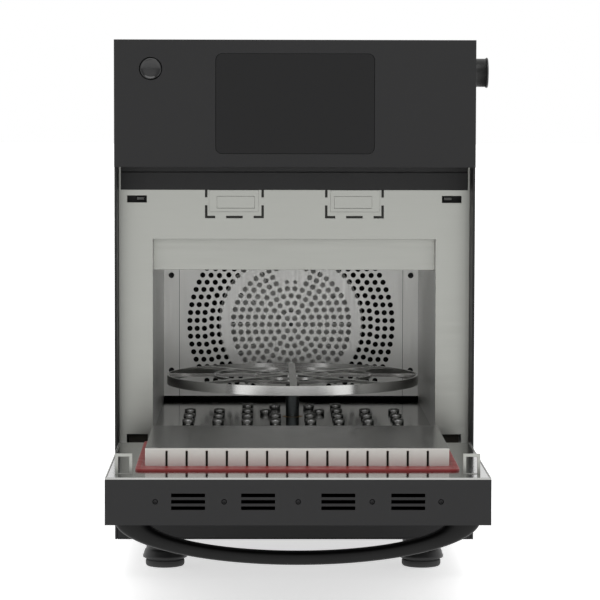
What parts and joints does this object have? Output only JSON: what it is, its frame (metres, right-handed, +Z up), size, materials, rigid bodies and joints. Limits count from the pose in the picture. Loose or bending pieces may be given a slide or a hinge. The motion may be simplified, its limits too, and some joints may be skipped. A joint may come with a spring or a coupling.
{
  "type": "reflow oven",
  "caption": "Countertop hot-air reflow oven with a drop-down gasketed door, rotating ring rack, perforated fan baffle, touch screen head, side knob and screw feet.",
  "frame": {"origin": "bottom centre of the bounding box with the door open: the plane under the feet", "axes": "+X to the right seen from the front, +Y from the open door towards the back, +Z up"},
  "size_m": [0.406, 0.914, 0.587],
  "materials": {
    "casing_black": "fine satin powder coat",
    "brushed_steel": "brushed stainless",
    "mirror_steel": "polished dark stainless",
    "plain_steel": "zinc-plated",
    "screw_black": "black oxide",
    "gasket_red": "matte silicone",
    "handle_black": "satin moulded",
    "screen_black": "dark coated glass",
    "knob_black": "satin",
    "foot_black": "moulded",
    "foot_rubber": "matte",
    "bronze": "sintered",
    "dome_rubber": "matte silicone",
    "quartz": "frosted quartz",
    "wool": "dark rock wool board",
    "module_grey": "moulded",
    "lever_white": "moulded acetal",
    "board_green": "solder mask",
    "motor_grey": "enamel"
  },
  "bodies": {
    "cabinet": {"outer_cover": "casing_black", "base_pan": "casing_black", "kick_panel": "casing_black", "rear_panel": "casing_black", "head_fascia": "casing_black", "top_trim": "casing_black", "hinge_brackets": "casing_black", "face_plate": "brushed_steel", "chamber_liner": "brushed_steel", "rear_baffle": "brushed_steel", "rear_strips": "brushed_steel", "skirt": "brushed_steel", "catch_pads": "brushed_steel", "plenum_housing": "brushed_steel", "heater_holders": "brushed_steel", "floor_plate": "mirror_steel", "floor_studs": "mirror_steel", "head_shelf": "plain_steel", "motor_bracket": "plain_steel", "hinge_pins": "plain_steel", "strip_screws": "plain_steel", "thermocouple": "plain_steel", "arch_heater": "plain_steel", "exhaust_spigot": "plain_steel", "touch_glass": "screen_black", "button_housing": "knob_black", "feet": "foot_black", "foot_pads": "foot_rubber", "knob_bush": "bronze", "shaft_bearing": "bronze", "upper_heaters": "quartz", "insulation": "wool", "display_module": "module_grey", "interlock_switches": "module_grey", "cooling_fan_frame": "module_grey", "mains_inlet": "module_grey", "power_supply": "module_grey", "control_board": "board_green", "fan_motor": "motor_grey", "rack_gearmotor": "motor_grey"},
    "door": {"door_shell": "casing_black", "door_screws": "screw_black", "door_inner_plate": "brushed_steel", "door_plug": "mirror_steel", "plug_insulation": "wool", "door_gasket": "gasket_red", "door_strikers": "brushed_steel", "door_handle": "handle_black", "hinge_knuckles": "plain_steel"},
    "rack_drive": {"rack_shaft": "plain_steel"},
    "rack": {"turntable_rack": "brushed_steel"},
    "fan": {"fan_impeller": "plain_steel", "fan_shaft": "plain_steel"},
    "power_button": {"power_button": "knob_black", "return_dome": "dome_rubber"},
    "side_knob": {"side_knob": "knob_black", "knob_spindle": "plain_steel"},
    "interlock_left": {"interlock_lever_left": "lever_white"},
    "interlock_right": {"interlock_lever_right": "lever_white"},
    "cooling_fan": {"cooling_fan_rotor": "module_grey"}
  },
  "joints": [
    {"name": "door_hinge", "type": "hinge", "parent": "cabinet", "child": "door", "pos_m": [-0.008, -0.121, 0.111], "axis": [-1, 0, 0], "range_deg": [0, 90]},
    {"name": "rack_spin", "type": "hinge", "parent": "cabinet", "child": "rack_drive", "pos_m": [-0.008, 0.102, 0.18], "axis": [0, 0, 1], "continuous": true},
    {"name": "rack_lift", "type": "slide", "parent": "rack_drive", "child": "rack", "axis": [0, 0, 1], "range_m": [0, 0.06]},
    {"name": "fan_spin", "type": "hinge", "parent": "cabinet", "child": "fan", "pos_m": [-0.008, 0.297, 0.2492], "axis": [0, 1, 0], "continuous": true},
    {"name": "power_button_press", "type": "slide", "parent": "cabinet", "child": "power_button", "axis": [0, 1, 0], "range_m": [0, 0.002], "stiffness_N_per_m": 400},
    {"name": "side_knob_turn", "type": "hinge", "parent": "cabinet", "child": "side_knob", "pos_m": [0.192, -0.073, 0.5524], "axis": [1, 0, 0], "range_deg": [0, 300]},
    {"name": "interlock_left_push", "type": "slide", "parent": "cabinet", "child": "interlock_left", "axis": [0, 1, 0], "range_m": [0, 0.003], "stiffness_N_per_m": 150},
    {"name": "interlock_right_push", "type": "slide", "parent": "cabinet", "child": "interlock_right", "axis": [0, 1, 0], "range_m": [0, 0.003], "stiffness_N_per_m": 150},
    {"name": "cooling_fan_spin", "type": "hinge", "parent": "cabinet", "child": "cooling_fan", "pos_m": [0.092, 0.427, 0.518], "axis": [0, 1, 0], "continuous": true}
  ]
}
